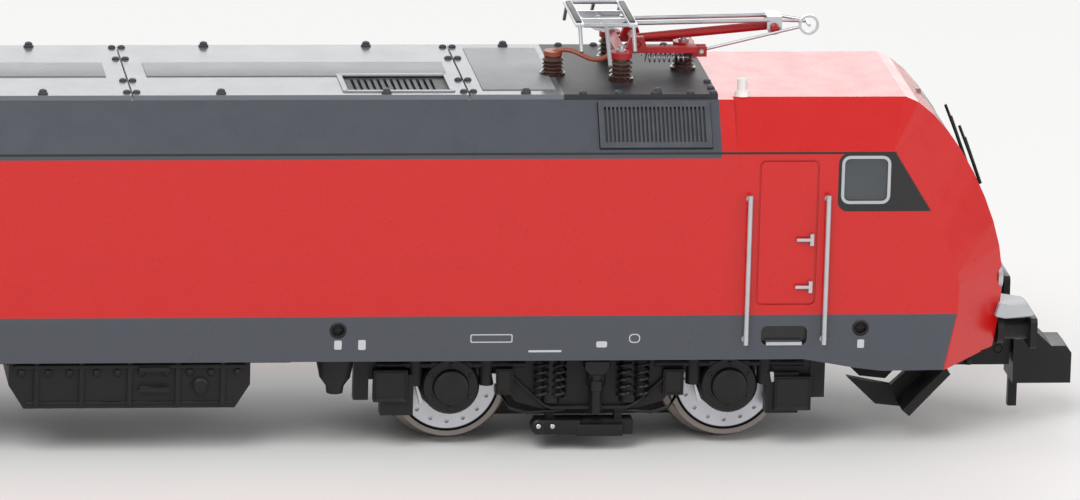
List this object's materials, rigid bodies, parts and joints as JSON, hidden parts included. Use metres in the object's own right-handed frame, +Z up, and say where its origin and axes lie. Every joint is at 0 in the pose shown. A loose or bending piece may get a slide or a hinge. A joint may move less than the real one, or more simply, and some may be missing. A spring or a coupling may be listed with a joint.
{
  "type": "model electric locomotive",
  "caption": "Double-ended model electric locomotive with folded pantographs, geared bogies, motor drive and swinging couplers, for small-gauge track.",
  "frame": {"origin": "bottom of the wheel flanges, under the middle of the locomotive", "axes": "+X towards the leading cab, +Y to its left side, +Z up"},
  "size_m": [0.1292, 0.02, 0.0285],
  "materials": {
    "shell_paint": "satin red and grey paint on a moulded casing",
    "grey_paint": "satin grey",
    "glazing": "clear smoked",
    "clear_plastic": "clear",
    "silver_metal": "satin silver",
    "panto_red": "satin red",
    "white_plastic": "white",
    "insulator_brown": "glazed brown",
    "conductor_brown": "red brown paint",
    "die_cast": "raw die-cast",
    "motor_steel": "plated",
    "copper_winding": "enamelled copper",
    "board_green": "solder mask",
    "brass": "turned",
    "bright_steel": "bright",
    "wheel_steel": "nickel with a silver disc",
    "gear_plastic": "natural",
    "black_plastic": "satin black"
  },
  "bodies": {
    "body": {"body_shell": "shell_paint", "roof_panels": "grey_paint", "roof_vents": "black_plastic", "side_grilles": "grey_paint", "cab_glazing": "glazing", "handrails": "silver_metal", "door_fittings": "silver_metal", "wipers": "black_plastic", "horns": "white_plastic", "roof_insulators": "insulator_brown", "roof_conductors": "conductor_brown", "chassis_block": "die_cast", "motor_can": "motor_steel", "circuit_boards": "board_green", "light_guides": "clear_plastic", "chassis_screws": "bright_steel", "shaft_bearings": "brass", "underframe_tank": "black_plastic", "buffers": "black_plastic", "rail_guards": "black_plastic", "panto_base_front": "panto_red", "panto_base_rear": "panto_red", "panto_springs": "bright_steel"},
    "driveline": {"drive_shaft": "bright_steel", "motor_armature": "copper_winding", "flywheels": "brass", "worms": "bright_steel"},
    "coupler_pocket_front": {"coupler_pocket_front": "black_plastic"},
    "coupler_head_front": {"coupler_head_front": "black_plastic"},
    "panto_lower_front": {"panto_lower_arm_front": "panto_red"},
    "panto_upper_front": {"panto_upper_arm_front": "silver_metal"},
    "panto_head_front": {"panto_head_front": "silver_metal"},
    "panto_rod_front": {"panto_rod_front": "silver_metal"},
    "bogie_front": {"bogie_frame_front": "black_plastic", "bogie_sides_front": "black_plastic", "bogie_cover_front": "black_plastic"},
    "worm_wheel_front": {"worm_wheel_front": "gear_plastic"},
    "idler_front_a": {"idler_front_a": "gear_plastic"},
    "wheelset_front_a": {"wheels_front_a": "wheel_steel", "axle_gear_front_a": "gear_plastic"},
    "idler_front_b": {"idler_front_b": "gear_plastic"},
    "wheelset_front_b": {"wheels_front_b": "wheel_steel", "axle_gear_front_b": "gear_plastic"},
    "coupler_pocket_rear": {"coupler_pocket_rear": "black_plastic"},
    "coupler_head_rear": {"coupler_head_rear": "black_plastic"},
    "panto_lower_rear": {"panto_lower_arm_rear": "panto_red"},
    "panto_upper_rear": {"panto_upper_arm_rear": "silver_metal"},
    "panto_head_rear": {"panto_head_rear": "silver_metal"},
    "panto_rod_rear": {"panto_rod_rear": "silver_metal"},
    "bogie_rear": {"bogie_frame_rear": "black_plastic", "bogie_sides_rear": "black_plastic", "bogie_cover_rear": "black_plastic"},
    "worm_wheel_rear": {"worm_wheel_rear": "gear_plastic"},
    "idler_rear_a": {"idler_rear_a": "gear_plastic"},
    "wheelset_rear_a": {"wheels_rear_a": "wheel_steel", "axle_gear_rear_a": "gear_plastic"},
    "idler_rear_b": {"idler_rear_b": "gear_plastic"},
    "wheelset_rear_b": {"wheels_rear_b": "wheel_steel", "axle_gear_rear_b": "gear_plastic"}
  },
  "joints": [
    {"name": "motor_spin", "type": "hinge", "parent": "body", "child": "driveline", "pos_m": [0, 0, 0.01521], "axis": [1, 0, 0], "continuous": true},
    {"name": "coupler_front_swing", "type": "hinge", "parent": "body", "child": "coupler_pocket_front", "pos_m": [0.055, 0, 0.0052], "axis": [0, 0, 1], "range_deg": [-8, 8]},
    {"name": "coupler_front_lift", "type": "hinge", "parent": "coupler_pocket_front", "child": "coupler_head_front", "pos_m": [0.0596, 0, 0.0052], "axis": [0, -1, 0], "range_deg": [0, 8]},
    {"name": "panto_front_raise", "type": "hinge", "parent": "body", "child": "panto_lower_front", "pos_m": [0.0342, 0, 0.0266], "axis": [0, -1, 0], "range_deg": [0, 50]},
    {"name": "panto_front_elbow", "type": "hinge", "parent": "panto_lower_front", "child": "panto_upper_front", "pos_m": [0.0436, 0, 0.0275], "axis": [0, 1, 0], "range_deg": [0, 95]},
    {"name": "panto_front_head_level", "type": "hinge", "parent": "panto_upper_front", "child": "panto_head_front", "pos_m": [0.0319, 0, 0.02775], "axis": [0, -1, 0], "range_deg": [0, 45]},
    {"name": "panto_front_rod_turn", "type": "hinge", "parent": "body", "child": "panto_rod_front", "pos_m": [0.0386, 0, 0.02605], "axis": [0, -1, 0], "range_deg": [0, 54.8]},
    {"name": "bogie_front_swivel", "type": "hinge", "parent": "body", "child": "bogie_front", "pos_m": [0.03094, 0, 0.01041], "axis": [0, 0, 1], "range_deg": [-8, 8]},
    {"name": "worm_wheel_front_spin", "type": "hinge", "parent": "bogie_front", "child": "worm_wheel_front", "pos_m": [0.03094, 0, 0.01041], "axis": [0, 1, 0], "continuous": true},
    {"name": "idler_front_a_spin", "type": "hinge", "parent": "bogie_front", "child": "idler_front_a", "pos_m": [0.03554, 0, 0.00656], "axis": [0, 1, 0], "continuous": true},
    {"name": "wheelset_front_a_spin", "type": "hinge", "parent": "bogie_front", "child": "wheelset_front_a", "pos_m": [0.04031, 0, 0.0045], "axis": [0, 1, 0], "continuous": true},
    {"name": "idler_front_b_spin", "type": "hinge", "parent": "bogie_front", "child": "idler_front_b", "pos_m": [0.02634, 0, 0.00656], "axis": [0, 1, 0], "continuous": true},
    {"name": "wheelset_front_b_spin", "type": "hinge", "parent": "bogie_front", "child": "wheelset_front_b", "pos_m": [0.02157, 0, 0.0045], "axis": [0, 1, 0], "continuous": true},
    {"name": "coupler_rear_swing", "type": "hinge", "parent": "body", "child": "coupler_pocket_rear", "pos_m": [-0.055, 0, 0.0052], "axis": [0, 0, 1], "range_deg": [-8, 8]},
    {"name": "coupler_rear_lift", "type": "hinge", "parent": "coupler_pocket_rear", "child": "coupler_head_rear", "pos_m": [-0.0596, 0, 0.0052], "axis": [0, 1, 0], "range_deg": [0, 8]},
    {"name": "panto_rear_raise", "type": "hinge", "parent": "body", "child": "panto_lower_rear", "pos_m": [-0.0342, 0, 0.0266], "axis": [0, 1, 0], "range_deg": [0, 50]},
    {"name": "panto_rear_elbow", "type": "hinge", "parent": "panto_lower_rear", "child": "panto_upper_rear", "pos_m": [-0.0436, 0, 0.0275], "axis": [0, -1, 0], "range_deg": [0, 95]},
    {"name": "panto_rear_head_level", "type": "hinge", "parent": "panto_upper_rear", "child": "panto_head_rear", "pos_m": [-0.0319, 0, 0.02775], "axis": [0, 1, 0], "range_deg": [0, 45]},
    {"name": "panto_rear_rod_turn", "type": "hinge", "parent": "body", "child": "panto_rod_rear", "pos_m": [-0.0386, 0, 0.02605], "axis": [0, 1, 0], "range_deg": [0, 54.8]},
    {"name": "bogie_rear_swivel", "type": "hinge", "parent": "body", "child": "bogie_rear", "pos_m": [-0.03094, 0, 0.01041], "axis": [0, 0, 1], "range_deg": [-8, 8]},
    {"name": "worm_wheel_rear_spin", "type": "hinge", "parent": "bogie_rear", "child": "worm_wheel_rear", "pos_m": [-0.03094, 0, 0.01041], "axis": [0, 1, 0], "continuous": true},
    {"name": "idler_rear_a_spin", "type": "hinge", "parent": "bogie_rear", "child": "idler_rear_a", "pos_m": [-0.02634, 0, 0.00656], "axis": [0, 1, 0], "continuous": true},
    {"name": "wheelset_rear_a_spin", "type": "hinge", "parent": "bogie_rear", "child": "wheelset_rear_a", "pos_m": [-0.02157, 0, 0.0045], "axis": [0, 1, 0], "continuous": true},
    {"name": "idler_rear_b_spin", "type": "hinge", "parent": "bogie_rear", "child": "idler_rear_b", "pos_m": [-0.03554, 0, 0.00656], "axis": [0, 1, 0], "continuous": true},
    {"name": "wheelset_rear_b_spin", "type": "hinge", "parent": "bogie_rear", "child": "wheelset_rear_b", "pos_m": [-0.04031, 0, 0.0045], "axis": [0, 1, 0], "continuous": true}
  ],
  "couplings": [
    {"joint": "panto_front_elbow", "follows": "panto_front_raise", "ratio": 1.9},
    {"joint": "panto_front_head_level", "follows": "panto_front_raise", "ratio": 0.9},
    {"joint": "panto_front_rod_turn", "follows": "panto_front_raise", "ratio": 1.095},
    {"joint": "worm_wheel_front_spin", "follows": "motor_spin", "ratio": -0.0625},
    {"joint": "idler_front_a_spin", "follows": "motor_spin", "ratio": 0.071429},
    {"joint": "wheelset_front_a_spin", "follows": "motor_spin", "ratio": -0.083333},
    {"joint": "idler_front_b_spin", "follows": "motor_spin", "ratio": 0.071429},
    {"joint": "wheelset_front_b_spin", "follows": "motor_spin", "ratio": -0.083333},
    {"joint": "panto_rear_elbow", "follows": "panto_rear_raise", "ratio": 1.9},
    {"joint": "panto_rear_head_level", "follows": "panto_rear_raise", "ratio": 0.9},
    {"joint": "panto_rear_rod_turn", "follows": "panto_rear_raise", "ratio": 1.095},
    {"joint": "worm_wheel_rear_spin", "follows": "motor_spin", "ratio": -0.0625},
    {"joint": "idler_rear_a_spin", "follows": "motor_spin", "ratio": 0.071429},
    {"joint": "wheelset_rear_a_spin", "follows": "motor_spin", "ratio": -0.083333},
    {"joint": "idler_rear_b_spin", "follows": "motor_spin", "ratio": 0.071429},
    {"joint": "wheelset_rear_b_spin", "follows": "motor_spin", "ratio": -0.083333}
  ]
}
